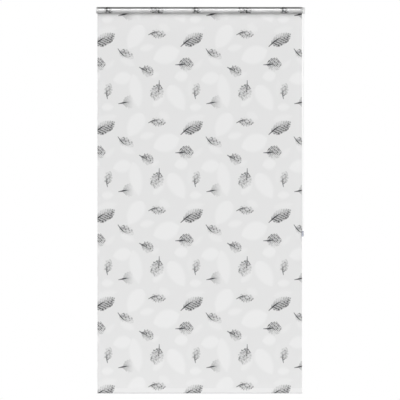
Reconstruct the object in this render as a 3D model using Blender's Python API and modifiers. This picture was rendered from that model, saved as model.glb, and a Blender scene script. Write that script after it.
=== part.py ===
"""A shower roller blind on its roller tube, let down to its full length.

Metres, +Z up. The blind faces -Y and +X is to the right of a person who faces it. The origin is
on the roller's axis, at the middle of the left plug's outer face.
"""

import math

import bmesh
import bpy

# The gap that pieces keep where they touch.
GAP = 0.0003

# Blind cloth. It leaves the roll at the back, so the roll stands in front of the hanging cloth.
CLOTH_WIDTH = 1.270
CLOTH_THICKNESS = 0.0012
ROLL_RADIUS = 0.020
LOWEST = -2.3795
ROLL_SIDES = 64

# Round bar in the hem, and the pocket that is welded round it.
BAR_RADIUS = 0.004
BAR_SET_BACK = 0.001
BAR_SHOWS = 0.0015
BAR_SIDES = 24
POCKET_ABOVE_BAR = 0.024

# Roller tube.
TUBE_WALL = 0.0012

# Moulded plugs in the tube's ends.
SPIGOT_LENGTH = 0.022
LEFT_FLANGE = 0.0087
LEFT_FLANGE_RADIUS = 0.0192
LEFT_FLANGE_ROUNDING = 0.0035
LEFT_FLANGE_STEPS = 6
DRIVE_FLANGE = 0.004
DRIVE_FLANGE_RADIUS = 0.0195
DRIVE_FLANGE_ROUNDING = 0.001
DRIVE_FLANGE_STEPS = 3
PLUG_SIDES = 48

# Housing of the chain wheel, round above the axis and straight below it.
HOUSING_WIDTH = 0.0134
HOUSING_RADIUS = 0.0165
HOUSING_BELOW_AXIS = 0.0215
HOUSING_CORNER = 0.005
HOUSING_ROUNDING = 0.004
HOUSING_DOME_STEPS = 24
HOUSING_CORNER_STEPS = 5

# Bead chain: two strands that come down from the housing and draw together at the holder.
CHAIN_DIAMETER = 0.0045
CHAIN_TOP_SPREAD = 0.0105
CHAIN_FOOT_SPREAD = 0.0075
CHAIN_POINTS = 38

# Clear holder that the chain's loop turns in.
HOLDER_SIZE = (0.013, 0.024, 0.035)
HOLDER_TOP = -1.3705
HOLDER_INWARD = 0.0075
HOLDER_ROUNDING = 0.003

CLOTH_LEFT = LEFT_FLANGE + GAP
CLOTH_RIGHT = CLOTH_LEFT + CLOTH_WIDTH
DRIVE_FLANGE_LEFT = CLOTH_RIGHT + GAP
HOUSING_LEFT = DRIVE_FLANGE_LEFT + DRIVE_FLANGE + GAP
HOUSING_MIDDLE = HOUSING_LEFT + HOUSING_WIDTH / 2
TUBE_RADIUS = ROLL_RADIUS - CLOTH_THICKNESS - GAP
SPIGOT_RADIUS = TUBE_RADIUS - TUBE_WALL - GAP
SHEET_MIDDLE = ROLL_RADIUS - CLOTH_THICKNESS / 2
POCKET_RADIUS = BAR_RADIUS + GAP
HEM_RADIUS = POCKET_RADIUS + CLOTH_THICKNESS
BAR_HEIGHT = LOWEST + HEM_RADIUS

# Local X, Y and Z of a flat outline turned to the world's Y, Z and X.
FACING_ALONG_X = (math.radians(90), 0, math.radians(90))
# Local Z of a turned shape laid along the world's X.
AXIS_ALONG_X = (0, math.radians(90), 0)


def clear_scene():
    for obj in list(bpy.data.objects):
        bpy.data.objects.remove(obj, do_unlink=True)


def new_collection(name):
    found = bpy.data.collections.new(name)
    bpy.context.scene.collection.children.link(found)
    return found


def plain_material(name, colour, roughness, metallic=0.0, clearness=0.0):
    """A Principled material of one colour, given as linear red, green and blue."""
    mat = bpy.data.materials.new(name)
    mat.use_nodes = True
    shader = mat.node_tree.nodes["Principled BSDF"]
    shader.inputs["Base Color"].default_value = (*colour, 1.0)
    shader.inputs["Roughness"].default_value = roughness
    shader.inputs["Metallic"].default_value = metallic
    shader.inputs["Transmission Weight"].default_value = clearness
    mat.diffuse_color = (*colour, 1.0)
    return mat


def add_object(name, data, home, mat):
    obj = bpy.data.objects.new(name, data)
    obj.data.materials.append(mat)
    home.objects.link(obj)
    return obj


def arc(centre, radius, start, end, steps):
    """Points on a circle from one angle to the other, in degrees, with both ends."""
    angles = [math.radians(start + (end - start) * i / steps) for i in range(steps + 1)]
    return [
        (centre[0] + radius * math.cos(a), centre[1] + radius * math.sin(a)) for a in angles
    ]


def flat_piece(name, loops, left, width, home, mat, rounding=0.0):
    """Closed outlines in the YZ plane, holes among them, drawn out along X.

    A rounding turns the edges of the two faces by that radius, inside the outline.
    """
    curve = bpy.data.curves.new(name, "CURVE")
    curve.dimensions = "2D"
    curve.fill_mode = "BOTH"
    curve.extrude = width / 2 - rounding
    curve.bevel_depth = rounding
    curve.bevel_resolution = 3
    curve.offset = -rounding
    for loop in loops:
        line = curve.splines.new("POLY")
        line.points.add(len(loop) - 1)
        for point, (y, z) in zip(line.points, loop):
            point.co = (y, z, 0, 1)
        line.use_cyclic_u = True
    obj = add_object(name, curve, home, mat)
    obj.rotation_euler = FACING_ALONG_X
    obj.location.x = left + width / 2
    return obj


def add_modifier(obj, kind, name, **settings):
    modifier = obj.modifiers.new(name, kind)
    for key, value in settings.items():
        setattr(modifier, key, value)
    return modifier


def turned_piece(name, profile, closed, sides, left, home, mat):
    """A profile of (radius, distance along X) turned round the roller's axis.

    The profile runs down its outer side from its far end to its near one.
    """
    mesh = bpy.data.meshes.new(name)
    shape = bmesh.new()
    points = [shape.verts.new((radius, 0, along)) for radius, along in profile]
    for start, end in zip(points, points[1:]):
        shape.edges.new((start, end))
    if closed:
        shape.edges.new((points[-1], points[0]))
    shape.to_mesh(mesh)
    shape.free()
    obj = add_object(name, mesh, home, mat)
    add_modifier(
        obj,
        "SCREW",
        "Turn",
        steps=sides,
        render_steps=sides,
        use_merge_vertices=True,
        merge_threshold=0.00001,
    )
    obj.rotation_euler = AXIS_ALONG_X
    obj.location.x = left
    return obj


def cloth_outline():
    """The cloth's edge seen from the side: round the roll, down its front face, round the hem
    and up its back face."""
    meets_front = math.degrees(math.acos((ROLL_RADIUS - CLOTH_THICKNESS) / ROLL_RADIUS))
    roll = arc((0, 0), ROLL_RADIUS, 0, 360 - meets_front, ROLL_SIDES)
    tilt = math.asin(POCKET_RADIUS / POCKET_ABOVE_BAR)
    half = CLOTH_THICKNESS / 2
    flare = BAR_HEIGHT + (HEM_RADIUS - half * math.cos(tilt)) / math.sin(tilt)
    turn = math.degrees(tilt)
    hem = arc((SHEET_MIDDLE, BAR_HEIGHT), HEM_RADIUS, 180 - turn, 360 + turn, BAR_SIDES)
    return roll + [(SHEET_MIDDLE - half, flare)] + hem + [(SHEET_MIDDLE + half, flare)]


def pocket_outline():
    """The hem pocket's inside: round under the bar, drawn to a line at the weld above it."""
    turn = math.degrees(math.asin(POCKET_RADIUS / POCKET_ABOVE_BAR))
    centre = (SHEET_MIDDLE, BAR_HEIGHT)
    below = arc(centre, POCKET_RADIUS, 180 - turn, 360 + turn, BAR_SIDES)
    return [*below, (SHEET_MIDDLE, BAR_HEIGHT + POCKET_ABOVE_BAR)]


def full_circle(radius, sides):
    return arc((0, 0), radius, 0, 360, sides)[:-1]


def build_cloth(home, mat):
    loops = [
        cloth_outline(),
        full_circle(ROLL_RADIUS - CLOTH_THICKNESS, ROLL_SIDES),
        pocket_outline(),
    ]
    return flat_piece("cloth", loops, CLOTH_LEFT, CLOTH_WIDTH, home, mat)


def build_tube(home, mat):
    inside = TUBE_RADIUS - TUBE_WALL
    profile = [
        (TUBE_RADIUS, CLOTH_WIDTH),
        (TUBE_RADIUS, 0),
        (inside, 0),
        (inside, CLOTH_WIDTH),
    ]
    return turned_piece("roller_tube", profile, True, ROLL_SIDES, CLOTH_LEFT, home, mat)


def build_left_plug(home, mat):
    """A rounded flange outside the tube and a spigot inside it, turned from the spigot's end."""
    rounding = arc(
        (LEFT_FLANGE_RADIUS - LEFT_FLANGE_ROUNDING, LEFT_FLANGE_ROUNDING),
        LEFT_FLANGE_ROUNDING,
        0,
        -90,
        LEFT_FLANGE_STEPS,
    )
    profile = [
        (0, LEFT_FLANGE + SPIGOT_LENGTH),
        (SPIGOT_RADIUS, LEFT_FLANGE + SPIGOT_LENGTH),
        (SPIGOT_RADIUS, LEFT_FLANGE),
        (LEFT_FLANGE_RADIUS, LEFT_FLANGE),
        *rounding,
        (0, 0),
    ]
    return turned_piece("left_plug", profile, False, PLUG_SIDES, 0, home, mat)


def build_drive_plug(home, mat):
    rounding = arc(
        (DRIVE_FLANGE_RADIUS - DRIVE_FLANGE_ROUNDING, DRIVE_FLANGE - DRIVE_FLANGE_ROUNDING),
        DRIVE_FLANGE_ROUNDING,
        90,
        0,
        DRIVE_FLANGE_STEPS,
    )
    profile = [
        (0, DRIVE_FLANGE),
        *rounding,
        (DRIVE_FLANGE_RADIUS, 0),
        (SPIGOT_RADIUS, 0),
        (SPIGOT_RADIUS, -SPIGOT_LENGTH),
        (0, -SPIGOT_LENGTH),
    ]
    return turned_piece(
        "drive_plug", profile, False, PLUG_SIDES, DRIVE_FLANGE_LEFT, home, mat
    )


def build_housing(home, mat):
    """A dome over the chain wheel, with straight sides down to a flat foot."""
    top = arc((0, 0), HOUSING_RADIUS, 0, 180, HOUSING_DOME_STEPS)
    side = HOUSING_RADIUS - HOUSING_CORNER
    foot = -HOUSING_BELOW_AXIS + HOUSING_CORNER
    front_corner = arc((-side, foot), HOUSING_CORNER, 180, 270, HOUSING_CORNER_STEPS)
    back_corner = arc((side, foot), HOUSING_CORNER, 270, 360, HOUSING_CORNER_STEPS)
    return flat_piece(
        "chain_housing",
        [top + front_corner + back_corner],
        HOUSING_LEFT,
        HOUSING_WIDTH,
        home,
        mat,
        rounding=HOUSING_ROUNDING,
    )


def build_bar(home, mat):
    length = CLOTH_WIDTH - BAR_SET_BACK + BAR_SHOWS
    profile = [(0, length), (BAR_RADIUS, length), (BAR_RADIUS, 0), (0, 0)]
    bar = turned_piece(
        "bottom_bar", profile, False, BAR_SIDES, CLOTH_LEFT + BAR_SET_BACK, home, mat
    )
    bar.location.y = SHEET_MIDDLE
    bar.location.z = BAR_HEIGHT
    return bar


def chain_strand(name, side, home, mat):
    """One taut strand of the chain. side is -1 for the front strand and +1 for the back one."""
    top = (HOUSING_MIDDLE, side * CHAIN_TOP_SPREAD, -HOUSING_BELOW_AXIS - GAP)
    foot = (HOUSING_MIDDLE - HOLDER_INWARD, side * CHAIN_FOOT_SPREAD, HOLDER_TOP + GAP)
    curve = bpy.data.curves.new(name, "CURVE")
    curve.dimensions = "3D"
    curve.bevel_depth = CHAIN_DIAMETER / 2
    curve.bevel_resolution = 2
    curve.use_fill_caps = True
    line = curve.splines.new("POLY")
    line.points.add(CHAIN_POINTS - 1)
    for i, point in enumerate(line.points):
        down = i / (CHAIN_POINTS - 1)
        point.co = (*[a + (b - a) * down for a, b in zip(top, foot)], 1)
    return add_object(name, curve, home, mat)


def build_holder(home, mat):
    """A small rounded block that hangs in the loop of the chain."""
    bpy.ops.mesh.primitive_cube_add(size=1)
    holder = bpy.context.object
    holder.name = holder.data.name = "chain_holder"
    for vertex in holder.data.vertices:
        vertex.co = [c * s for c, s in zip(vertex.co, HOLDER_SIZE)]
    for other in list(holder.users_collection):
        other.objects.unlink(holder)
    home.objects.link(holder)
    holder.data.materials.append(mat)
    holder.location = (HOUSING_MIDDLE - HOLDER_INWARD, 0, HOLDER_TOP - HOLDER_SIZE[2] / 2)
    add_modifier(
        holder, "BEVEL", "Rounded edges", width=HOLDER_ROUNDING, segments=3, limit_method="NONE"
    )
    return holder


def build_blind():
    home = new_collection("Roller blind")
    cloth = plain_material("Printed coated cloth", (0.78, 0.78, 0.78), 0.45)
    aluminium = plain_material("Drawn aluminium", (0.72, 0.72, 0.72), 0.35, metallic=1.0)
    white = plain_material("White moulded plastic", (0.80, 0.80, 0.79), 0.35)
    clear = plain_material("Clear plastic", (0.72, 0.76, 0.82), 0.12, clearness=0.7)
    build_cloth(home, cloth)
    build_tube(home, aluminium)
    build_left_plug(home, white)
    build_drive_plug(home, white)
    build_housing(home, white)
    build_bar(home, white)
    chain_strand("chain_front", -1, home, white)
    chain_strand("chain_back", 1, home, white)
    build_holder(home, clear)


clear_scene()
build_blind()
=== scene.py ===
# %% [markdown]
# # A shower roller blind
#
# This notebook dresses a finished construction model of a roller blind. The construction gives the
# places and sizes of the solids. The cells below add what the eye sees: a thin printed film that is
# really wound and hung, moulded plastic ends, a bead chain, and a plain studio to look at them in.
#
# Everything is in metres with +Z up. The blind faces -Y, and +X is to the right of a person who
# faces it.

# %% Load the construction model
import math

import bmesh
import bpy
from mathutils import Matrix, Vector


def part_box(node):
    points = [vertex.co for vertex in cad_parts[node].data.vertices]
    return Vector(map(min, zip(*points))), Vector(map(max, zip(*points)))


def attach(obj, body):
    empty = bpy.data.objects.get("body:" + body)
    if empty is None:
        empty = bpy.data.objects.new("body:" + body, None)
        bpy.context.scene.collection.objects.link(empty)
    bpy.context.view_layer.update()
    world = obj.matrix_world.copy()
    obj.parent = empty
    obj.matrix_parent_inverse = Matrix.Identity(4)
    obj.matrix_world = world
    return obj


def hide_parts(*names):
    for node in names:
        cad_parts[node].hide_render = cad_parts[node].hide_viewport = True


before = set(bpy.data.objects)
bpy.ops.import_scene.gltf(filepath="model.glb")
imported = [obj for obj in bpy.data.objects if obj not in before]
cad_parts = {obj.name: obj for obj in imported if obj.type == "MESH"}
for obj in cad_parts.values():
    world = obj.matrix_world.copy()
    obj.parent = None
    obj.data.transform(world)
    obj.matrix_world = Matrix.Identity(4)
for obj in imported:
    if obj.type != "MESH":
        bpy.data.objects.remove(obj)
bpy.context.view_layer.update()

# %% [markdown]
# ## Places that come from the construction
#
# Each piece's place is read from the box of the solid that it dresses, so the looks follow the
# construction if a size there changes. A roller blind is a simple machine seen from its end: a
# tube, a roll of cloth round it, and a sheet that leaves the roll at the back.

# %% Read the boxes
MM = 0.001


def middle(node):
    low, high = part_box(node)
    return (Vector(low) + Vector(high)) / 2


def size(node):
    low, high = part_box(node)
    return Vector(high) - Vector(low)


cloth_low, cloth_high = (Vector(corner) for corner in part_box("cloth"))
axis = middle("roller_tube")
tube_radius = size("roller_tube").z / 2
roll_radius = cloth_high.z - axis.z
bar = middle("bottom_bar")
bar_radius = size("bottom_bar").z / 2
drop = axis.z - cloth_low.z
print(f"roll {2000 * roll_radius:.1f} mm across, cloth {cloth_high.x - cloth_low.x:.3f} m wide")
print(f"drop {drop:.3f} m, bar {2000 * bar_radius:.1f} mm across")

# %% [markdown]
# ## The camera
#
# The blind is looked at straight on and from far away, so that its sides stay parallel and its roll
# shows no end. A parallel camera gives that view without the distance. Its width of view is a
# little more than the blind's height.

# %% Aim the camera
VIEW_WIDTH = 2.4832
VIEW_MIDDLE = Vector((0.6456, 0, -1.1783))
VIEW_DISTANCE = 4

camera_data = bpy.data.cameras.new("Camera")
camera_data.type = "ORTHO"
camera_data.ortho_scale = VIEW_WIDTH
camera_data.clip_end = 30  # m, past the floor behind the blind
camera = bpy.data.objects.new("Camera", camera_data)
camera.location = VIEW_MIDDLE - Vector((0, VIEW_DISTANCE, 0))
camera.rotation_euler = (math.radians(90), 0, 0)
bpy.context.scene.collection.objects.link(camera)
bpy.context.scene.camera = camera
print(f"the view is {VIEW_WIDTH:.2f} m wide")

# %% [markdown]
# ## Helpers for materials
#
# Colours are written as the hex values that a paint program shows. Blender mixes light in linear
# values, so one function turns them. Another one adds a shader node, sets it up and links it. Its
# inputs are named or numbered as on the node, and a value that is a node is linked from its first
# output. Three nodes come again and again, so each has a function of its own: a ramp from one
# number to another, a noise with a given grain, and a tint between two colours.


# %% Colours
def linear(hex_colour):
    """The linear colour of an sRGB hex value such as E4E4E4, with an alpha of 1."""
    channels = [int(hex_colour[i : i + 2], 16) / 255 for i in (0, 2, 4)]
    lit = [c / 12.92 if c <= 0.04045 else ((c + 0.055) / 1.055) ** 2.4 for c in channels]
    return (*lit, 1.0)


print(f"E4E4E4 is {linear('E4E4E4')[0]:.3f} in linear light")


# %% Add a node
def shown(sockets):
    """The sockets that a node shows with its present settings."""
    return [socket for socket in sockets if socket.enabled]


def add(tree, kind, inputs=(), **settings):
    """Adds a node of that kind to the tree, with its settings, values and links."""
    node = tree.nodes.new("ShaderNode" + kind)
    for name, value in settings.items():
        setattr(node, name, value)
    pairs = inputs.items() if isinstance(inputs, dict) else enumerate(inputs)
    for key, value in pairs:
        into = shown(node.inputs)
        socket = into[key] if isinstance(key, int) else next(s for s in into if s.name == key)
        if isinstance(value, bpy.types.Node):
            value = shown(value.outputs)[0]
        if isinstance(value, bpy.types.NodeSocket):
            tree.links.new(value, socket)
        elif value is not None:
            socket.default_value = value
    return node


# %% Nodes that come again and again
def ramp(tree, value, start, end, first, last, smooth=False):
    """Goes from first to last while the value goes from start to end, and stays there beyond."""
    return add(
        tree,
        "MapRange",
        {"Value": value, "From Min": start, "From Max": end, "To Min": first, "To Max": last},
        interpolation_type="SMOOTHSTEP" if smooth else "LINEAR",
    )


def noise(tree, place, grain, detail):
    """A cloudy pattern whose clouds are about one grain across."""
    return add(tree, "TexNoise", {"Vector": place, "Scale": 1 / grain, "Detail": detail})


def tinted(tree, value, dark, light):
    """A colour between two hex values."""
    tint = add(tree, "ValToRGB", {"Fac": value})
    tint.color_ramp.elements[0].color = linear(dark)
    tint.color_ramp.elements[1].color = linear(light)
    return tint


# %% Start a material
def new_material(name):
    """An empty node material, and its tree."""
    material = bpy.data.materials.new(name)
    material.use_nodes = True
    material.node_tree.nodes.clear()
    return material, material.node_tree


# %% [markdown]
# ## Turning a bmesh into a piece
#
# Every piece is built in place, with its object at the origin, so that patterns which read the
# object's own coordinates stay where they are put. Smooth shading with sharp edges kept by angle
# gives a moulded part its soft corners without more faces.


# %% Finish a mesh as a piece of the blind
def finish_piece(name, shape, material, nodes, sharp_angle=35):
    """An object of the bmesh and the construction's nodes it replaces.

    Edges that bend by more than the sharp angle stay sharp, so an angle of 180 keeps none.
    """
    mesh = bpy.data.meshes.new(name)
    shape.to_mesh(mesh)
    shape.free()
    mesh.materials.append(material)
    mesh.shade_smooth()
    mesh.set_sharp_from_angle(angle=math.radians(sharp_angle))
    piece = bpy.data.objects.new(name, mesh)
    bpy.context.scene.collection.objects.link(piece)
    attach(piece, "root")
    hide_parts(*nodes)
    print(f"{name}: {len(mesh.polygons)} faces")
    return piece


# %% [markdown]
# ## The bead chain's plastic
#
# The chain is moulded in clear or white polypropylene, bead by bead, onto a cord. It is milky and
# lets light through, so that it all but vanishes in front of a bright wall. A share of Subsurface
# gives the milkiness. Its gloss is broken by the fine grain of the mould.

# %% Milky polypropylene
chain_plastic, tree = new_material("moulded_polypropylene_milky")
place = add(tree, "TexCoord").outputs["Object"]
# Mould grain of 1.5 mm, finer than a bead.
grain = noise(tree, place, 1.5 * MM, 2.0)
tint = tinted(tree, grain, "EDEEEF", "F5F5F5")
gloss = ramp(tree, grain, 0.0, 1.0, 0.25, 0.4)
shader = add(
    tree,
    "BsdfPrincipled",
    {"Base Color": tint, "Roughness": gloss, "IOR": 1.49, "Subsurface Weight": 0.3},
)
shader.inputs["Subsurface Radius"].default_value = (2 * MM, 2 * MM, 2 * MM)
shader.inputs["Subsurface Scale"].default_value = 1.0
add(tree, "OutputMaterial", {"Surface": shader})
print("material:", chain_plastic.name)

# %% [markdown]
# ## The bead chain
#
# The chain is a loop. It comes out of the housing's underside at the front, runs down, turns inside
# its clear holder, and goes back up behind itself. It hangs straight, drawn tight by the holder, so
# its line is two straight strands and half a circle. A bead sits every 6 mm. There are hundreds, so
# each bead is a small sphere of a few dozen faces, on a thin cord.

# %% The chain's line
CHAIN_DIAMETER = 4.5 * MM
BEAD_PITCH = 6 * MM
CORD_RADIUS = 0.7 * MM
STRAND_POINTS = 8
TURN_POINTS = 18
TURN_BELOW_TOP = 14 * MM
BEADS_IN_A_CIRCLE = 9

front_low, front_high = (Vector(corner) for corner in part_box("chain_front"))
housing = middle("chain_housing")
holder = middle("chain_holder")
holder_size = size("chain_holder")
chain_exit = Vector((housing.x, front_low.y + CHAIN_DIAMETER / 2, front_high.z))
# The turn is half of a circle that nine beads would fill.
turn_radius = BEADS_IN_A_CIRCLE * BEAD_PITCH / (2 * math.pi)
turn_middle = Vector((holder.x, 0, holder.z + holder_size.z / 2 - TURN_BELOW_TOP))


def chain_line():
    """The chain's points, from its exit at the front round to its exit at the back."""
    mirrored = Vector((chain_exit.x, -chain_exit.y, chain_exit.z))
    into_turn = turn_middle - Vector((0, turn_radius, 0))
    out_of_turn = turn_middle + Vector((0, turn_radius, 0))
    down = [chain_exit.lerp(into_turn, i / STRAND_POINTS) for i in range(STRAND_POINTS)]
    turn = []
    for i in range(TURN_POINTS + 1):
        angle = math.pi + math.pi * i / TURN_POINTS
        turn.append(turn_middle + turn_radius * Vector((0, math.cos(angle), math.sin(angle))))
    up = [out_of_turn.lerp(mirrored, (i + 1) / STRAND_POINTS) for i in range(STRAND_POINTS)]
    return down + turn + up


chain_points = chain_line()
chain_length = sum((b - a).length for a, b in zip(chain_points, chain_points[1:]))
print(f"chain: {chain_length:.3f} m outside the housing")
print(f"its turn: {1000 * turn_radius:.1f} mm in radius")


# %% String the beads on their cord
def along_line(points, distance):
    """The point that far along the line."""
    for start, end in zip(points, points[1:]):
        step = (end - start).length
        if distance <= step:
            return start.lerp(end, distance / step)
        distance -= step
    return points[-1]


def build_chain(material):
    """A thin cord with a bead at every pitch."""
    line = bpy.data.curves.new("chain_cord", "CURVE")
    line.dimensions = "3D"
    line.bevel_depth = CORD_RADIUS
    line.bevel_resolution = 1
    line.use_fill_caps = True
    spline = line.splines.new("POLY")
    spline.points.add(len(chain_points) - 1)
    for point, co in zip(spline.points, chain_points):
        point.co = (*co, 1)
    cord_object = bpy.data.objects.new("chain_cord", line)
    cord_mesh = bpy.data.meshes.new_from_object(cord_object)
    shape = bmesh.new()
    shape.from_mesh(cord_mesh)
    bpy.data.objects.remove(cord_object)
    # One bead is moved from place to place, and a copy of it is left at each.
    bead_shape = bmesh.new()
    bmesh.ops.create_uvsphere(
        bead_shape, u_segments=8, v_segments=6, radius=CHAIN_DIAMETER / 2
    )
    bead = bpy.data.meshes.new("bead")
    bead_shape.to_mesh(bead)
    bead_shape.free()
    count = int((chain_length - CHAIN_DIAMETER) / BEAD_PITCH) + 1
    start = (chain_length - (count - 1) * BEAD_PITCH) / 2
    here = Vector()
    for i in range(count):
        there = along_line(chain_points, start + i * BEAD_PITCH)
        bead.transform(Matrix.Translation(there - here))
        here = there
        shape.from_mesh(bead)
    print(count, "beads")
    nodes = ["chain_front", "chain_back"]
    return finish_piece("bead_chain", shape, material, nodes, sharp_angle=180)


bead_chain = build_chain(chain_plastic)

# %% [markdown]
# ## The path of the cloth
#
# Seen from its end, the cloth is one line. It starts on the tube, winds round it, leaves the roll at
# the back, hangs straight down, turns round the bar and is welded to its own back. It could be
# simulated, but a film under the weight of its bar has only one shape, so the line is worked out:
# a spiral for the turns, a straight drop, and a hem pocket whose two sides touch the bar's circle.
# Each point also keeps how far along the cloth it lies, counted up from the line where the cloth
# leaves the roll. The print is laid out with that length, so it runs on over the roll unbroken.
# Hidden behind the roll it is drawn together a little, which moves the leaves on the roll's front
# to their place.

# %% Sizes of the cloth as it is really made
CLOTH_THICKNESS = 0.3 * MM
TURNS = 4
STEPS_A_TURN = 72
DROP_ROWS = 64
HEM_STEPS = 20
POCKET_HEIGHT = 22 * MM
WELD_HEIGHT = 5 * MM
PRINT_SLIP = 22 * MM

outer_turn = roll_radius - CLOTH_THICKNESS / 2
inner_turn = tube_radius + CLOTH_THICKNESS
hem_turn = bar_radius + 2 * CLOTH_THICKNESS
back_plane = axis.y + outer_turn
weld_line = bar.z + POCKET_HEIGHT
print(f"turns of {1000 * outer_turn:.2f} mm down to {1000 * inner_turn:.2f} mm in radius")


# %% Work out the line
def cloth_line():
    """Points of (y, z), from the cloth's end in its hem to its start on the tube."""
    behind = back_plane + CLOTH_THICKNESS
    line = [(behind, weld_line + WELD_HEIGHT), (behind, weld_line)]
    tilt = math.asin((hem_turn - (behind - bar.y)) / POCKET_HEIGHT)
    for i in range(HEM_STEPS + 1):
        angle = tilt - (math.pi + 2 * tilt) * i / HEM_STEPS
        line.append((bar.y + hem_turn * math.cos(angle), bar.z + hem_turn * math.sin(angle)))
    for i in range(DROP_ROWS):
        line.append((back_plane, weld_line + (axis.z - weld_line) * i / DROP_ROWS))
    steps = TURNS * STEPS_A_TURN
    for i in range(steps + 1):
        angle = 2 * math.pi * i / STEPS_A_TURN
        radius = outer_turn - (outer_turn - inner_turn) * i / steps
        line.append((axis.y + radius * math.cos(angle), axis.z + radius * math.sin(angle)))
    return line


def lengths_along(line):
    """How far each point lies along the line, counted up from where the cloth leaves the roll."""
    lengths = [0.0]
    for start, end in zip(line, line[1:]):
        lengths.append(lengths[-1] + math.dist(start, end))
    leaves_roll = lengths[-1 - TURNS * STEPS_A_TURN]
    return [length - leaves_roll for length in lengths]


def printed_at(length):
    """Where on the print a point lies that is this far along the cloth."""
    below_roll, over_roll = -roll_radius, roll_radius * math.pi / 2
    share = min(max((length - below_roll) / (over_roll - below_roll), 0), 1)
    return length - PRINT_SLIP * share * share * (3 - 2 * share)


line = cloth_line()
lengths = lengths_along(line)

# %% [markdown]
# ## The print: the room that one leaf has
#
# The cloth is printed all over with leaves, in one repeat that is as wide as it is high. A repeat
# could be a picture, but then its scale and its sharpness are fixed. Here each leaf is drawn by
# nodes instead, from a short row of facts: where its middle is, which way it points, how long and
# wide it is, and how its midrib bends.
#
# The first group turns a place on the cloth into a place on the leaf. Wrap brings every repeat of
# the leaf onto the same one. The results are measured along the leaf from its base to its tip,
# across it, and away from its midrib.


# %% Start a node group
def new_group(name, numbers, vectors, results):
    """An empty node group with those inputs and results, and its input and output nodes."""
    tree = bpy.data.node_groups.new(name, "ShaderNodeTree")
    for kind, names in (("NodeSocketVector", vectors), ("NodeSocketFloat", numbers)):
        for socket in names:
            tree.interface.new_socket(socket, in_out="INPUT", socket_type=kind)
    for socket in results:
        tree.interface.new_socket(socket, in_out="OUTPUT", socket_type="NodeSocketFloat")
    return tree, tree.nodes.new("NodeGroupInput").outputs, tree.nodes.new("NodeGroupOutput")


# %% A place on a leaf
REPEAT = 546.3  # mm, both ways
OFF_LEAF = -50.0  # mm outside a leaf's outline, where no ink reaches
# Places along the blade and how wide it is there, both as shares.
OUTLINE_POINTS = ((0.06, 0.42), (0.2, 0.8), (0.42, 1.0), (0.68, 0.86), (0.88, 0.45))

leaf_place, given, result = new_group(
    "Place on a leaf",
    ["Turn", "Length", "Width", "Full", "Bend"],
    ["Place", "Middle"],
    ["Along", "Across", "From Midrib", "Inside", "X", "Y"],
)
half = REPEAT / 2
tree = leaf_place
away = add(tree, "VectorMath", [given["Place"], given["Middle"]], operation="SUBTRACT")
wrapped = add(
    tree, "VectorMath", [away, (half, half, half), (-half, -half, -half)], operation="WRAP"
)
straightened = add(
    tree, "VectorRotate", {"Vector": wrapped, "Angle": given["Turn"]}, rotation_type="Z_AXIS"
)
parts = add(tree, "SeparateXYZ", [straightened])
x, y = parts.outputs["X"], parts.outputs["Y"]
share = add(tree, "Math", [x, given["Length"]], operation="DIVIDE")
along = add(tree, "Math", [share, 0.5], operation="ADD")
half_width = add(tree, "Math", [given["Width"], 0.5], operation="MULTIPLY")
across = add(tree, "Math", [y, half_width], operation="DIVIDE")
# The midrib bows over the blade and runs on straight through the stem.
on_blade = add(tree, "Math", [along, 0.0], operation="MAXIMUM")
squared = add(tree, "Math", [on_blade, on_blade], operation="MULTIPLY")
bow = add(tree, "Math", [along, squared], operation="SUBTRACT")
four_bends = add(tree, "Math", [given["Bend"], 4.0], operation="MULTIPLY")
midrib = add(tree, "Math", [bow, four_bends], operation="MULTIPLY")
from_midrib = add(tree, "Math", [y, midrib], operation="SUBTRACT")
# The blade's outline: quickly wide after the base, slowly narrow towards the tip. Full moves the
# widest place: above 1 towards the tip, as on a fan, and below 1 towards the base.
on_outline = add(tree, "Math", [on_blade, given["Full"]], operation="POWER")
outline = add(tree, "FloatCurve", {"Value": on_outline})
curve = outline.mapping.curves[0]
curve.points[0].location = (0.0, 0.0)
curve.points[1].location = (1.0, 0.0)
for where, wide in OUTLINE_POINTS:
    curve.points.new(where, wide)
outline.mapping.update()
side = add(tree, "Math", [across], operation="ABSOLUTE")
room = add(tree, "Math", [outline, side], operation="SUBTRACT")
inside = add(tree, "Math", [room, half_width], operation="MULTIPLY")
before_tip = add(tree, "Math", [along, 1.0], operation="LESS_THAN")
after_base = add(tree, "Math", [along, 0.0], operation="GREATER_THAN")
on_leaf = add(tree, "Math", [before_tip, after_base], operation="MULTIPLY")
inside = add(tree, "Mix", {"Factor": on_leaf, "A": OFF_LEAF, "B": inside}, data_type="FLOAT")
values = (along, across, from_midrib, inside, x, y)
for socket, value in zip(result.inputs, values):
    tree.links.new(value if isinstance(value, bpy.types.NodeSocket) else value.outputs[0], socket)
print("group:", leaf_place.name)

# %% [markdown]
# ## The print: dark skeleton leaves
#
# The dark leaves are drawn as leaves look when only their veins are left. A thick stem runs into a
# midrib that thins out. Side veins leave it on both sides and sweep forward. Between them lies a net
# of fine cells, which is what a Voronoi texture's edges are. Each leaf is printed unevenly: one side
# or one end is dark, and the rest fades out as if it were worn away.

# %% A skeleton leaf's midrib and stem
skeleton_leaf, given, result = new_group(
    "Skeleton leaf",
    ["Turn", "Length", "Width", "Full", "Bend", "Stem", "Rib", "Pitch", "Sweep"]
    + ["Veins", "Net", "Wash", "Worn", "To Tip", "To Left", "Ink"],
    ["Place", "Middle"],
    ["Ink"],
)
tree = skeleton_leaf
shared = ("Turn", "Length", "Width", "Full", "Bend", "Place", "Middle")
leaf = add(tree, "Group", {name: given[name] for name in shared}, node_tree=leaf_place)
leaf = leaf.outputs
away_from_midrib = add(tree, "Math", [leaf["From Midrib"]], operation="ABSOLUTE")
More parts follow.
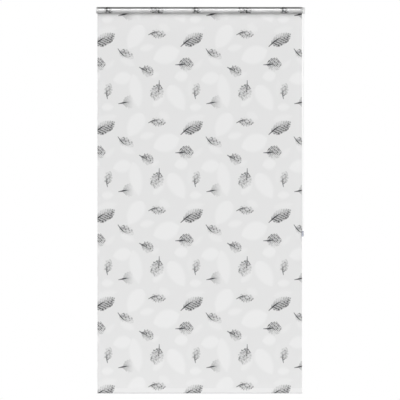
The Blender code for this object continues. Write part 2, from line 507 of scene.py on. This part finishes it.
# Midrib and stem: thickest where the blade begins, and thinner both ways.
BASE_HALF, STEM_HALF, TIP_HALF = 3.5, 1.5, 0.6  # mm to each side
along = leaf["Along"]
stem_half = ramp(tree, along, -0.3, 0.05, STEM_HALF, BASE_HALF)
blade_half = ramp(tree, along, 0.2, 0.8, BASE_HALF, TIP_HALF)
rib_half = add(tree, "Math", [stem_half, blade_half], operation="MINIMUM")
rib_edge = add(tree, "Math", [away_from_midrib, rib_half], operation="SUBTRACT")
rib = ramp(tree, rib_edge, -0.8, 1.4, 1.0, 0.0, smooth=True)
past_base = add(tree, "Math", [along, given["Length"]], operation="MULTIPLY")
stem_end = add(tree, "Math", [past_base, given["Stem"]], operation="ADD")
stem_fade = ramp(tree, stem_end, -2.0, 1.0, 0.0, 1.0)
tip_fade = ramp(tree, along, 0.3, 0.8, 1.0, 0.0)
rib_ink = ramp(tree, along, -0.2, 0.05, 0.75, 1.0)
rib_ink = add(tree, "Math", [rib_ink, given["Rib"]], operation="MULTIPLY")
for factor in (rib_ink, stem_fade, tip_fade):
    rib = add(tree, "Math", [rib, factor], operation="MULTIPLY")
print("midrib and stem:", len(tree.nodes), "nodes")

# %% Its side veins
# They are evenly spaced along the midrib, and swept forward. The sides alternate.
swept = add(tree, "Math", [away_from_midrib, given["Sweep"]], operation="MULTIPLY")
vein_place = add(tree, "Math", [leaf["X"], swept], operation="SUBTRACT")
vein_count = add(tree, "Math", [vein_place, given["Pitch"]], operation="DIVIDE")
on_left = add(tree, "Math", [leaf["From Midrib"], 0.0], operation="GREATER_THAN")
alternate = add(tree, "Math", [on_left, 0.5, vein_count], operation="MULTIPLY_ADD")
phase = add(tree, "Math", [alternate], operation="FRACT")
off_vein = add(tree, "Math", [phase, 0.5], operation="SUBTRACT")
off_vein = add(tree, "Math", [off_vein], operation="ABSOLUTE")
off_vein = add(tree, "Math", [off_vein, given["Pitch"]], operation="MULTIPLY")
vein = ramp(tree, off_vein, 0.9, 3.2, 1.0, 0.0, smooth=True)
vein = add(tree, "Math", [vein, given["Veins"]], operation="MULTIPLY")
print("with side veins:", len(tree.nodes), "nodes")

# %% The net between the veins, and its wear
# Millimetres from one cell, one speck and one worn patch to the next.
NET_CELL, SPECK_CELL, WEAR_PATCH = 16, 14, 13

# The ink stays on the net's threads, and it pools into specks between them.
flat = add(tree, "CombineXYZ", {"X": leaf["X"], "Y": leaf["Y"]})
cells = add(
    tree,
    "TexVoronoi",
    {"Vector": flat, "Scale": 1 / NET_CELL},
    feature="DISTANCE_TO_EDGE",
    voronoi_dimensions="2D",
)
threads = ramp(tree, cells, 0.04, 0.18, 0.4, 0.0)
specks = add(
    tree, "TexVoronoi", {"Vector": flat, "Scale": 1 / SPECK_CELL}, voronoi_dimensions="2D"
)
specks = ramp(tree, specks, 0.15, 0.38, 1.1, 0.0)
net = add(tree, "Math", [threads, specks], operation="MAXIMUM")
net = add(tree, "Math", [net, given["Net"]], operation="MULTIPLY")
wear = noise(tree, flat, WEAR_PATCH, 1.0)
worn = ramp(tree, wear, 0.4, 0.65, 0.4, 1.6)
change = add(tree, "Math", [worn, 1.0], operation="SUBTRACT")
unworn = add(tree, "Math", [change, given["Worn"], 1.0], operation="MULTIPLY_ADD")
print("with net and wear:", len(tree.nodes), "nodes")

# %% The blade as a whole
RAGGED = 26.0  # mm from the outline's deepest notch to its furthest bump, at most

# Veins and net are darkest next to the midrib, and a wash lies between them.
side = add(tree, "Math", [leaf["Across"]], operation="ABSOLUTE")
near_rib = ramp(tree, side, 0.0, 1.0, 1.3, 0.6)
blade = add(tree, "Math", [vein, net], operation="MAXIMUM")
blade = add(tree, "Math", [blade, near_rib], operation="MULTIPLY")
blade = add(tree, "Math", [blade, given["Wash"]], operation="ADD")
blade = add(tree, "Math", [blade, unworn], operation="MULTIPLY")
# The outline is as uneven as the wear.
uneven = add(tree, "Math", [wear, 0.5], operation="SUBTRACT")
uneven = add(tree, "Math", [uneven, RAGGED, leaf["Inside"]], operation="MULTIPLY_ADD")
edge = ramp(tree, uneven, -1.0, 7.0, 0.0, 1.0, smooth=True)
blade = add(tree, "Math", [blade, edge], operation="MULTIPLY")
# The side and the end that are printed darker.
centred = add(tree, "Math", [along, 2.0, -1.0], operation="MULTIPLY_ADD")
toward_tip = add(tree, "Math", [centred, given["To Tip"], 1.0], operation="MULTIPLY_ADD")
shade = add(
    tree, "Math", [leaf["Across"], given["To Left"], toward_tip], operation="MULTIPLY_ADD"
)
shade = ramp(tree, shade, 0.15, 1.6, 0.0, 1.5, smooth=True)
blade = add(tree, "Math", [blade, shade], operation="MULTIPLY")
blade = add(tree, "Math", [blade, given["Ink"]], operation="MULTIPLY")
ink = add(tree, "Math", [blade, rib], operation="MAXIMUM")
ink = add(tree, "Clamp", {"Value": ink})
tree.links.new(ink.outputs[0], result.inputs["Ink"])
print("group:", skeleton_leaf.name, "with", len(tree.nodes), "nodes")

# %% [markdown]
# ## The print: pale leaves
#
# Behind the dark leaves lie larger ones without veins, a little lighter than the ground, like
# shadows turned white. They have soft edges, because a second, pale ink was laid on softly.

# %% One pale leaf
pale_leaf, given, result = new_group(
    "Pale leaf",
    ["Turn", "Length", "Width", "Full", "Bend", "Light"],
    ["Place", "Middle"],
    ["Light"],
)
tree = pale_leaf
leaf = add(tree, "Group", {name: given[name] for name in shared}, node_tree=leaf_place)
edge = ramp(tree, leaf.outputs["Inside"], -8.0, 20.0, 0.0, 1.0, smooth=True)
light = add(tree, "Math", [edge, given["Light"]], operation="MULTIPLY")
tree.links.new(light.outputs[0], result.inputs["Light"])
print("group:", pale_leaf.name)

# %% [markdown]
# ## The print: where the leaves lie
#
# A designer would note the repeat in a table like this. Middles are in millimetres from the cloth's
# left edge and up from the bottom of its hem. A leaf's turn is the way from its base to its tip, in
# degrees from the right. Its shape is its length, its width, how full it is towards its tip, and how
# far its midrib bows. Then come the stem's length and how dark stem and midrib are, the distance
# between side veins and how far they sweep, how strong veins, net, wash and wear are, how much
# darker the leaf is towards its tip and its left side, and how much ink its blade has.

# %% The chart of the leaves
DARK_LEAVES = (
    # middle, turn, (length, width, full, bow), (stem, darkness of stem and rib),
    # (distance of veins, sweep), (veins, net, wash, wear), darker to (tip, left), ink
    ((50, 16), 27, (138, 80, 0.95, 10), (24, 1.0),
     (17, 0.7), (0.6, 0.2, 0.35, 0.5), (-0.05, -0.55), 1.0),
    ((378, 47), -2, (94, 60, 1.0, 13), (15, 0.9),
     (14, 0.9), (0.2, 0.6, 0.2, 1.0), (-0.1, -0.4), 0.9),
    ((182, 463), -27, (98, 62, 1.0, -13), (18, 0.9),
     (12, 1.2), (0.3, 0.4, 0.2, 1.0), (-0.5, 0.6), 0.85),
    ((5, 404), 2, (92, 88, 1.1, 0), (22, 0.95),
     (13, 1.0), (0.75, 0.35, 0.2, 0.9), (-0.1, 0.5), 1.0),
    ((310, 362), -25, (86, 70, 1.2, -2), (14, 0.85),
     (13, 1.0), (0.5, 0.35, 0.22, 0.9), (-0.2, 0.35), 1.0),
    ((67, 247), 80, (88, 55, 1.1, 9), (14, 0.75),
     (12, 1.0), (0.2, 0.5, 0.25, 1.0), (-0.35, -0.2), 0.8),
    ((370, 229), -104, (112, 86, 1.15, 7), (22, 0.75),
     (13, 0.9), (0.4, 0.5, 0.18, 1.0), (-0.4, -0.3), 0.85),
    ((190, 169), 8, (82, 86, 1.6, 1), (20, 1.0),
     (10, 1.8), (0.25, 0.0, 0.14, 0.4), (-0.8, 0.1), 1.0),
)
PALE_LEAVES = (
    # middle      turn  length width full light
    ((235, 27), -121, 172, 110, 0.9, 0.6),
    ((309, 508), 12, 98, 54, 1.0, 0.55),
    ((428, 463), 20, 176, 122, 1.2, 0.65),
    ((152, 317), 192, 119, 88, 1.0, 0.62),
    ((239, 238), -80, 220, 88, 1.0, 0.55),
    ((518, 331), 190, 88, 77, 1.0, 0.65),
    ((493, 195), -59, 186, 106, 0.9, 0.62),
    ((380, 178), 45, 100, 54, 1.0, 0.5),
    ((64, 139), 3, 80, 57, 1.0, 0.62),
    ((62, 72), 12, 130, 54, 1.0, 0.35),
    ((417, 84), -30, 84, 56, 1.0, 0.35),
    ((187, 420), -28, 104, 56, 1.0, 0.4),
    ((80, 404), 48, 88, 40, 1.0, 0.35),
    ((361, 338), 40, 62, 40, 1.0, 0.4),
    ((28, 260), 85, 112, 44, 1.0, 0.18),
)
print(len(DARK_LEAVES), "dark and", len(PALE_LEAVES), "pale leaves in one repeat")

# %% [markdown]
# ## The film
#
# The cloth of a shower blind is a thin white film of vinyl. It is calendered, which means rolled out
# hot between cylinders: smooth, satin, and the same all over. It lets some light through, so a part
# of its shader is Translucent, and what hangs in front of a bright wall glows a little. The roll is
# many layers thick and doesn't glow, because the next layer inside it is dark.

# %% Lay the leaves out on the film
# The roll's front begins this far up the print from where the film leaves the roll. From there the
# ink is darkened over this height, as painted shade on the roll's lower front.
FRONT_BEGINS = 28  # mm
PAINTED_SHADE_OVER = 22  # mm
PAINTED_SHADE_DEEPEST = 1.8  # times the ink

film, tree = new_material("calendered_vinyl_film_printed")
map_node = add(tree, "UVMap", uv_map="Cloth")
in_mm = add(
    tree,
    "VectorMath",
    [map_node, (1000, 1000, 0), (0, 1000 * drop, 0)],
    operation="MULTIPLY_ADD",
)
along_film = add(tree, "SeparateXYZ", [in_mm]).outputs["Y"]
ink = None
for centre, turn, shape, stem, veins, shares, darker, strength in DARK_LEAVES:
    facts = {
        "Place": in_mm,
        "Middle": (*centre, 0),
        "Turn": -math.radians(turn),
        "Ink": strength,
    }
    facts.update(zip(("Length", "Width", "Full", "Bend"), shape))
    facts.update(zip(("Stem", "Rib"), stem))
    facts.update(zip(("Pitch", "Sweep"), veins))
    facts.update(zip(("Veins", "Net", "Wash", "Worn"), shares))
    facts.update(zip(("To Tip", "To Left"), darker))
    leaf = add(tree, "Group", facts, node_tree=skeleton_leaf)
    ink = leaf if ink is None else add(tree, "Math", [ink, leaf], operation="MAXIMUM")
# Painted shade: on the roll's front the ink is darkened more and more towards the roll's underside.
roll_front = 1000 * drop + FRONT_BEGINS
painted_roll_shade = ramp(tree, along_film, roll_front, roll_front + PAINTED_SHADE_OVER, 1.0, PAINTED_SHADE_DEEPEST)
ink = add(tree, "Math", [ink, painted_roll_shade], operation="MULTIPLY", use_clamp=True)
light = None
for centre, turn, length, width, full, strength in PALE_LEAVES:
    facts = {
        "Place": in_mm,
        "Middle": (*centre, 0),
        "Turn": -math.radians(turn),
        "Length": length,
        "Width": width,
        "Full": full,
        "Light": strength,
    }
    leaf = add(tree, "Group", facts, node_tree=pale_leaf)
    light = leaf if light is None else add(tree, "Math", [light, leaf], operation="MAXIMUM")
print("leaves laid out:", len(tree.nodes), "nodes")

# %% The film's colours: white ground, pale leaves, grey ink
ground = add(
    tree,
    "Mix",
    {"Factor": light, "A": linear("E4E4E4"), "B": linear("EFEFEF")},
    data_type="RGBA",
    clamp_factor=False,
)
# From the weld down there are two layers of film, which look whiter than one.
weld_foot = 1000 * (weld_line - cloth_low.z)
weld_head = weld_foot + 1000 * WELD_HEIGHT
doubled = ramp(tree, along_film, weld_head - 1, weld_head + 1, 1.0, 0.0)
ground = add(
    tree, "Mix", {"Factor": doubled, "A": ground, "B": linear("EBEBEB")}, data_type="RGBA"
)
printed = add(tree, "Mix", {"Factor": ink, "A": ground, "B": linear("303134")}, data_type="RGBA")
print(f"weld from {weld_foot:.1f} to {weld_head:.1f} mm up the film")

# %% The film's surface: calendered vinyl
TRANSLUCENT_SHARE = 0.15

# The weld that closes the hem: a pressed band across the whole cloth.
off_band = add(
    tree, "Math", [along_film, (weld_foot + weld_head) / 2], operation="SUBTRACT"
)
off_band = add(tree, "Math", [off_band], operation="ABSOLUTE")
weld = ramp(tree, off_band, 1.8, 2.8, 1.0, 0.0)
# Calender marks: faint streaks down the film, 20 mm apart and 300 mm long, and a grain of 2 mm.
streaks = add(tree, "VectorMath", [in_mm, (1 / 20, 1 / 300, 0)], operation="MULTIPLY")
streaks = noise(tree, streaks, 1.0, 2.0)
grain = noise(tree, in_mm, 2, 1.0)
gloss = ramp(tree, streaks, 0.0, 1.0, 0.17, 0.23)
height = add(tree, "Math", [grain, 0.03, weld], operation="MULTIPLY_ADD")
relief = add(tree, "Bump", {"Strength": 0.25, "Distance": 0.2 * MM, "Height": height})
front = add(
    tree,
    "BsdfPrincipled",
    {"Base Color": printed, "Roughness": gloss, "IOR": 1.53, "Normal": relief},
)
through = add(tree, "BsdfTranslucent", {"Color": printed, "Normal": relief})
# Two layers and the bar let nothing through.
see_through = ramp(tree, doubled, 0.0, 1.0, TRANSLUCENT_SHARE, 0.0)
both = add(tree, "MixShader", [see_through, front, through])
add(tree, "OutputMaterial", {"Surface": both})
print("material:", film.name, len(tree.nodes), "nodes")

# %% [markdown]
# ## The cloth's mesh
#
# The line's edges are drawn out sideways to the cloth's width, and the long edges are then cut into
# columns. Its map stores metres: across the cloth, and along it. A hung film is never quite flat, so
# the drop gets waves of less than a millimetre that die out at the roll and at the bar.

# %% Draw the line out to the cloth's width
COLUMNS = 36
WAVE = 0.5 * MM
# Two slanting waves, 0.68 m and 0.35 m long: radians to a metre, across the cloth and along it.
LONG_WAVE, SHORT_WAVE = (9.1, 1.7), (17, -5)
SHORT_SHARE = 0.6  # of the long wave's height


def waves(across, along):
    """The two waves together, from -1 to 1."""
    long_wave = math.sin(LONG_WAVE[0] * across + LONG_WAVE[1] * along)
    short_wave = math.sin(SHORT_WAVE[0] * across + SHORT_WAVE[1] * along)
    return (long_wave + SHORT_SHARE * short_wave) / (1 + SHORT_SHARE)


def build_cloth(material):
    """The film as one sheet of faces, with its map and its waves."""
    shape = bmesh.new()
    along = shape.verts.layers.float.new("along")
    hangs = shape.verts.layers.float.new("hangs")
    points = []
    for (y, z), length in zip(line, lengths):
        point = shape.verts.new((cloth_low.x, y, z))
        point[along] = printed_at(length)
        on_drop = y == back_plane and weld_line < z < axis.z
        point[hangs] = math.sin(math.pi * (axis.z - z) / (axis.z - weld_line)) if on_drop else 0
        points.append(point)
    for start, end in zip(points, points[1:]):
        shape.edges.new((start, end))
    drawn = bmesh.ops.extrude_edge_only(shape, edges=shape.edges[:])
    moved = [v for v in drawn["geom"] if isinstance(v, bmesh.types.BMVert)]
    bmesh.ops.translate(shape, verts=moved, vec=(cloth_high.x - cloth_low.x, 0, 0))
    long_edges = [e for e in shape.edges if abs(e.verts[0].co.x - e.verts[1].co.x) > MM]
    bmesh.ops.subdivide_edges(shape, edges=long_edges, cuts=COLUMNS - 1, use_grid_fill=True)
    bmesh.ops.recalc_face_normals(shape, faces=shape.faces[:])
    map_layer = shape.loops.layers.uv.new("Cloth")
    for face in shape.faces:
        for loop in face.loops:
            loop[map_layer].uv = (loop.vert.co.x - cloth_low.x, loop.vert[along])
    for vert in shape.verts:
        vert.co.y += WAVE * vert[hangs] * waves(vert.co.x, vert[along])
    return finish_piece(
        "blind_cloth", shape, material, ["cloth"], sharp_angle=180
    )


cloth = build_cloth(film)

# %% [markdown]
# ## White plastic for the fittings
#
# The two plugs and the housing are moulded in white ABS. It is dense and bright, with a soft satin
# shine that the fine spark-eroded grain of the mould gives it. The colour is never perfectly even,
# so a slow noise moves it by a hair.

# %% Moulded ABS, white
white_abs, tree = new_material("moulded_abs_white")
place = add(tree, "TexCoord").outputs["Object"]
slow = noise(tree, place, 12 * MM, 3.0)
tint = tinted(tree, slow, "D9DADA", "E2E2E1")
# Mould grain of 0.4 mm.
grain = noise(tree, place, 0.4 * MM, 1.0)
gloss = ramp(tree, slow, 0.0, 1.0, 0.42, 0.52)
relief = add(tree, "Bump", {"Strength": 0.15, "Distance": 0.05 * MM, "Height": grain})
shader = add(
    tree,
    "BsdfPrincipled",
    {"Base Color": tint, "Roughness": gloss, "IOR": 1.53, "Normal": relief},
)
add(tree, "OutputMaterial", {"Surface": shader})
print("material:", white_abs.name)

# %% [markdown]
# ## The left plug
#
# A turned shape is easiest as half of its outline, spun round. The plug's head is a round-edged disc
# with a shallow dish where the bracket's pin goes. Its spigot is a plain round boss that is pushed
# into the tube. The outline starts and ends on the axis, so the spin closes it.


# %% Spin an outline round the roller's axis
def spun(outline, sides=64):
    """A closed shape from (x, radius) points, spun round the roller's axis."""
    shape = bmesh.new()
    points = [shape.verts.new((x, axis.y, axis.z + radius)) for x, radius in outline]
    edges = [shape.edges.new(pair) for pair in zip(points, points[1:])]
    bmesh.ops.spin(
        shape,
        geom=points + edges,
        cent=(0, axis.y, axis.z),
        axis=(1, 0, 0),
        angle=2 * math.pi,
        steps=sides,
        use_merge=True,
    )
    bmesh.ops.remove_doubles(shape, verts=shape.verts[:], dist=0.001 * MM)
    bmesh.ops.recalc_face_normals(shape, faces=shape.faces[:])
    return shape


def rounded(x, radius, corner, start, steps=5):
    """Points of a quarter circle round (x, radius), from the angle start, turning clockwise."""
    points = []
    for i in range(steps + 1):
        angle = math.radians(start - 90 * i / steps)
        points.append((x + corner * math.cos(angle), radius + corner * math.sin(angle)))
    return points


# %% Spin the left plug
HEAD_CORNER = 1.6 * MM
DISH_DEPTH = 0.5 * MM
DISH_RADIUS = 9 * MM
DISH_RIM_RADIUS = 10.5 * MM
CLEARANCE = 0.3 * MM
SHOULDER = 2.2 * MM

plug_low, plug_high = (Vector(corner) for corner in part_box("left_plug"))
head_radius = plug_high.z - axis.z
head_back = cloth_low.x - CLEARANCE
spigot_radius = head_radius - SHOULDER
left_outline = [
    (plug_low.x + DISH_DEPTH, 0.0),
    (plug_low.x + DISH_DEPTH, DISH_RADIUS),
    (plug_low.x, DISH_RIM_RADIUS),
    *rounded(plug_low.x + HEAD_CORNER, head_radius - HEAD_CORNER, HEAD_CORNER, 180),
    *rounded(head_back - MM, head_radius - MM, MM, 90, 3),
    (head_back, spigot_radius),
    (plug_high.x - MM, spigot_radius),
    (plug_high.x, spigot_radius - MM),
    (plug_high.x, 0.0),
]
finish_piece(
    "left_plug_moulded", spun(left_outline), white_abs, ["left_plug"]
)

# %% [markdown]
# ## The drive plug
#
# At the chain's end a wider flange keeps the cloth's edge off the housing. It is a thin disc with a
# softly rounded rim, made the same way.

# %% Spin the drive plug
FLANGE_THICKNESS = 4 * MM
RIM = 1.2 * MM

drive_low, drive_high = (Vector(corner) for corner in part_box("drive_plug"))
flange_radius = drive_high.z - axis.z
flange_left = drive_high.x - FLANGE_THICKNESS
drive_outline = [
    (drive_low.x, 0.0),
    (drive_low.x, spigot_radius - MM),
    (drive_low.x + MM, spigot_radius),
    (flange_left, spigot_radius),
    *rounded(flange_left + RIM, flange_radius - RIM, RIM, 180),
    *rounded(drive_high.x - RIM, flange_radius - RIM, RIM, 90),
    (drive_high.x, 0.0),
]
finish_piece(
    "drive_plug_moulded", spun(drive_outline), white_abs, ["drive_plug"]
)

# %% [markdown]
# ## The chain housing
#
# The housing is a flat box that is round over the top and square below, where the chain comes out.
# The construction's shape is right, so it is kept, and its material is all it needs.


# %% Dress the housing
def dress_solid(name, material):
    """Gives a solid of the construction its material, and keeps its shape."""
    mesh = bpy.data.objects[name].data
    mesh.materials.clear()
    mesh.materials.append(material)
    print(f"{name} keeps its shape: {len(mesh.polygons)} faces")


dress_solid("chain_housing", white_abs)

# %% [markdown]
# ## The tube and the bar
#
# The tube is drawn aluminium: pulled through a ring, which leaves fine lines along it. Nothing of it
# shows but its end. The bar in the hem is an aluminium rod that is powder coated white: dry powder
# is sprayed on and melted, which gives a smooth, slightly dimpled skin. Its end looks out of the
# pocket.

# %% Drawn aluminium
drawn_aluminium, tree = new_material("drawn_aluminium_tube")
place = add(tree, "TexCoord").outputs["Object"]
# Drawing lines 0.5 mm apart round the tube, and 200 mm long.
lines = add(tree, "VectorMath", [place, (5, 2000, 2000)], operation="MULTIPLY")
lines = noise(tree, lines, 1.0, 2.0)
tint = tinted(tree, lines, "C4C6C8", "DDDEDF")
gloss = ramp(tree, lines, 0.0, 1.0, 0.28, 0.45)
relief = add(tree, "Bump", {"Strength": 0.2, "Distance": 0.05 * MM, "Height": lines})
shader = add(
    tree,
    "BsdfPrincipled",
    {"Base Color": tint, "Metallic": 1.0, "Roughness": gloss, "Normal": relief},
)
add(tree, "OutputMaterial", {"Surface": shader})
dress_solid("roller_tube", drawn_aluminium)

# %% Powder-coated bar
white_powder, tree = new_material("powder_coated_aluminium_white")
place = add(tree, "TexCoord").outputs["Object"]
# Melted powder keeps soft dimples of about 3 mm.
ripple = noise(tree, place, 3 * MM, 1.0)
tint = tinted(tree, ripple, "EFEFEE", "F6F6F5")
gloss = ramp(tree, ripple, 0.0, 1.0, 0.18, 0.26)
relief = add(tree, "Bump", {"Strength": 0.1, "Distance": 0.1 * MM, "Height": ripple})
shader = add(
    tree,
    "BsdfPrincipled",
    {"Base Color": tint, "Roughness": gloss, "IOR": 1.5, "Normal": relief},
)
add(tree, "OutputMaterial", {"Surface": shader})
print("material:", white_powder.name)

# %% Build the bar
BAR_ROUNDING = 0.7 * MM


def round_edges(shape, edges, radius, segments):
    """Rounds those edges, in that many steps."""
    bmesh.ops.bevel(
        shape,
        geom=edges,
        offset=radius,
        segments=segments,
        profile=0.5,
        material=-1,
        affect="EDGES",
    )


def build_bar(material):
    """A rod with softly rounded ends."""
    low, high = (Vector(corner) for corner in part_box("bottom_bar"))
    shape = bmesh.new()
    upright = Matrix.Translation(bar) @ Matrix.Rotation(math.radians(90), 4, "Y")
    bmesh.ops.create_cone(
        shape,
        cap_ends=True,
        segments=32,
        radius1=bar_radius,
        radius2=bar_radius,
        depth=high.x - low.x,
        matrix=upright,
    )
    rims = [e for e in shape.edges if abs(e.verts[0].co.x - e.verts[1].co.x) < MM]
    round_edges(shape, rims, BAR_ROUNDING, 3)
    finish_piece("hem_bar", shape, material, ["bottom_bar"])


build_bar(white_powder)

# %% [markdown]
# ## The chain's clear holder
#
# A child could be caught in a loose loop of chain, so the loop runs through a clear holder that is
# screwed to the wall and keeps it taut. It is a small box of clear polycarbonate, open at its top,
# and the lowest beads of the chain are seen turning inside it.

# %% Clear polycarbonate
clear_plastic, tree = new_material("moulded_polycarbonate_clear")
place = add(tree, "TexCoord").outputs["Object"]
# Faint flow clouds of 10 mm that the injected plastic leaves.
clouds = noise(tree, place, 10 * MM, 2.0)
tint = tinted(tree, clouds, "E2E4EC", "ECEEF5")
gloss = ramp(tree, clouds, 0.0, 1.0, 0.05, 0.1)
shader = add(
    tree,
    "BsdfPrincipled",
    {"Base Color": tint, "Roughness": gloss, "IOR": 1.58, "Transmission Weight": 0.9},
)
add(tree, "OutputMaterial", {"Surface": shader})
print("material:", clear_plastic.name)

# %% Build the holder
HOLDER_CORNER = 3 * MM
HOLDER_RIM = 0.4 * MM
HOLDER_WALL = 1.0 * MM
HOLDER_FLOOR = 3.8 * MM


def top_face(shape):
    """The face whose middle is highest."""
    return max(shape.faces, key=lambda face: face.calc_center_median().z)


def build_holder(material):
    """A box with round corners, sunk from its top to a thin wall and a thicker floor."""
    shape = bmesh.new()
    bmesh.ops.create_cube(
        shape, size=1.0, matrix=Matrix.Translation(holder) @ Matrix.Diagonal((*holder_size, 1))
    )
    rim = top_face(shape).edges[:]
    round_edges(shape, [e for e in shape.edges if e not in rim], HOLDER_CORNER, 4)
    round_edges(shape, top_face(shape).edges[:], HOLDER_RIM, 2)
    top = top_face(shape)
    bmesh.ops.inset_region(shape, faces=[top], thickness=HOLDER_WALL - HOLDER_RIM)
    sunk = bmesh.ops.extrude_discrete_faces(shape, faces=[top])["faces"]
    bmesh.ops.translate(
        shape, verts=sunk[0].verts[:], vec=(0, 0, HOLDER_FLOOR - holder_size.z)
    )
    finish_piece("chain_holder_clear", shape, material, ["chain_holder"])


build_holder(clear_plastic)

# %% [markdown]
# ## Facts about the soft pieces
#
# The film is one sheet, cut to its width and its whole length, the turns on the roll among them. It
# hangs from the tube. The chain is a cord that comes out of the housing and goes back into it.

# %% [markdown]
# ## The studio
#
# The room is white all round, so that the blind stands out by its print and its shading alone. A
# broad soft light fills from the front, and one from behind lets the film glow through. A long lamp
# close in front of the roll is seen only in the roll's shine, as a white line along it.

# %% A pale floor and a board
FLOOR_HEIGHT = -2.47


def stage_sheet(name, width, depth, place, colour, glow):
    """A flat sheet of the stage, seen with the blind but no part of it."""
    shape = bmesh.new()
    spot = Matrix.Translation(place) @ Matrix.Diagonal((width, depth, 1, 1))
    bmesh.ops.create_grid(shape, size=0.5, matrix=spot)
    mesh = bpy.data.meshes.new(name)
    shape.to_mesh(mesh)
    shape.free()
    material, tree = new_material(name)
    surface = add(
        tree,
        "BsdfPrincipled",
        {"Base Color": linear(colour), "Roughness": 0.9, "Emission Strength": glow},
    )
    surface.inputs["Emission Color"].default_value = (1, 1, 1, 1)
    add(tree, "OutputMaterial", {"Surface": surface})
    mesh.materials.append(material)
    thing = bpy.data.objects.new(name, mesh)
    bpy.context.scene.collection.objects.link(thing)
    return thing


floor = stage_sheet(
    "floor", width=8, depth=8, place=(0.65, 0, FLOOR_HEIGHT), colour="F2F2F2", glow=0.6
)
# The floor lies under a light of its own, which it lets through.
floor.visible_diffuse = False
floor.visible_shadow = False
# A narrow dark board over the roll keeps the light off its top, as a window's lintel does.
board = stage_sheet(
    "lintel_board",
    width=1.275,
    depth=0.108,
    place=(0.6455, 0.008, 0.0255),
    colour="404040",
    glow=0.0,
)
board.visible_camera = False
print(f"floor {-FLOOR_HEIGHT:.2f} m under the roller's axis")


# %% Lights
def hang_light(name, kind, energy, place=(0, 0, 0), elevation=0.0, turn=0.0, **settings):
    """A light that shines towards +Y, from that many degrees above, and turned about +Z."""
    data = bpy.data.lights.new(name, kind)
    data.energy = energy
    for key, value in settings.items():
        setattr(data, key, value)
    lamp = bpy.data.objects.new(name, data)
    lamp.location = place
    lamp.rotation_euler = (math.radians(90 - elevation), 0, math.radians(turn))
    bpy.context.scene.collection.objects.link(lamp)
    return lamp


front_fill = hang_light(
    "front_fill", "SUN", energy=2.98, place=(0, -3, 1), elevation=24, angle=math.radians(62)
)
front_fill.visible_glossy = False
back_glow = hang_light(
    "back_glow", "SUN", energy=2.77, place=(0, 3, 1), elevation=180, angle=math.radians(80)
)
back_glow.visible_glossy = False
# Clear plastic shows the white room through it, and not these two lights.
front_fill.visible_transmission = False
back_glow.visible_transmission = False
# From the sides, narrow lights that skim the cloth and reach only the fittings' ends.
for name, turn in (("left_fill", -90), ("right_fill", 90)):
    side_fill = hang_light(
        name, "SUN", energy=1.2, place=(0, 0, 1), turn=turn, angle=math.radians(10)
    )
    side_fill.visible_glossy = False

# %% The lamp in front of the roll
roll_lamp = hang_light(
    "roll_lamp",
    "AREA",
    energy=7.0,
    place=(0.644, -0.22, 0.066),
    elevation=5,
    shape="RECTANGLE",
    size=1.27,
    size_y=0.1,
)
roll_lamp.visible_diffuse = False
roll_lamp.visible_transmission = False
roll_lamp.visible_camera = False
print(f"{roll_lamp.name}: {roll_lamp.data.size:.2f} m long")

# %% [markdown]
# ## The white room
#
# The room could be built with walls, but they would be lit unevenly. The World is a ball of light
# round everything, and Light Path lets it answer each kind of ray in its own way. It is white to
# look at, also through clear plastic. It gives matt surfaces little light, so that the shading stays
# with the lights above, and it is a duller white in a shine.

# %% Fill the World
SEEN, IN_A_SHINE, ON_MATT = 1.0, 0.25, 0.08

world = bpy.data.worlds.new("studio_air")
world.use_nodes = True
tree = world.node_tree
rays = add(tree, "LightPath")
shine = add(
    tree,
    "Mix",
    {"Factor": rays.outputs["Is Glossy Ray"], "A": SEEN, "B": IN_A_SHINE},
    data_type="FLOAT",
)
through = add(
    tree,
    "Mix",
    {"Factor": rays.outputs["Is Transmission Ray"], "A": shine, "B": SEEN},
    data_type="FLOAT",
)
strength = add(
    tree,
    "Mix",
    {"Factor": rays.outputs["Is Diffuse Ray"], "A": through, "B": ON_MATT},
    data_type="FLOAT",
)
air = tree.nodes["Background"]
air.inputs["Color"].default_value = linear("FFFFFF")
tree.links.new(shown(strength.outputs)[0], air.inputs["Strength"])
bpy.context.scene.world = world
bpy.context.scene.view_settings.view_transform = "Standard"
print(f"world: {SEEN} to look at, {IN_A_SHINE} in a shine, {ON_MATT} on matt surfaces")
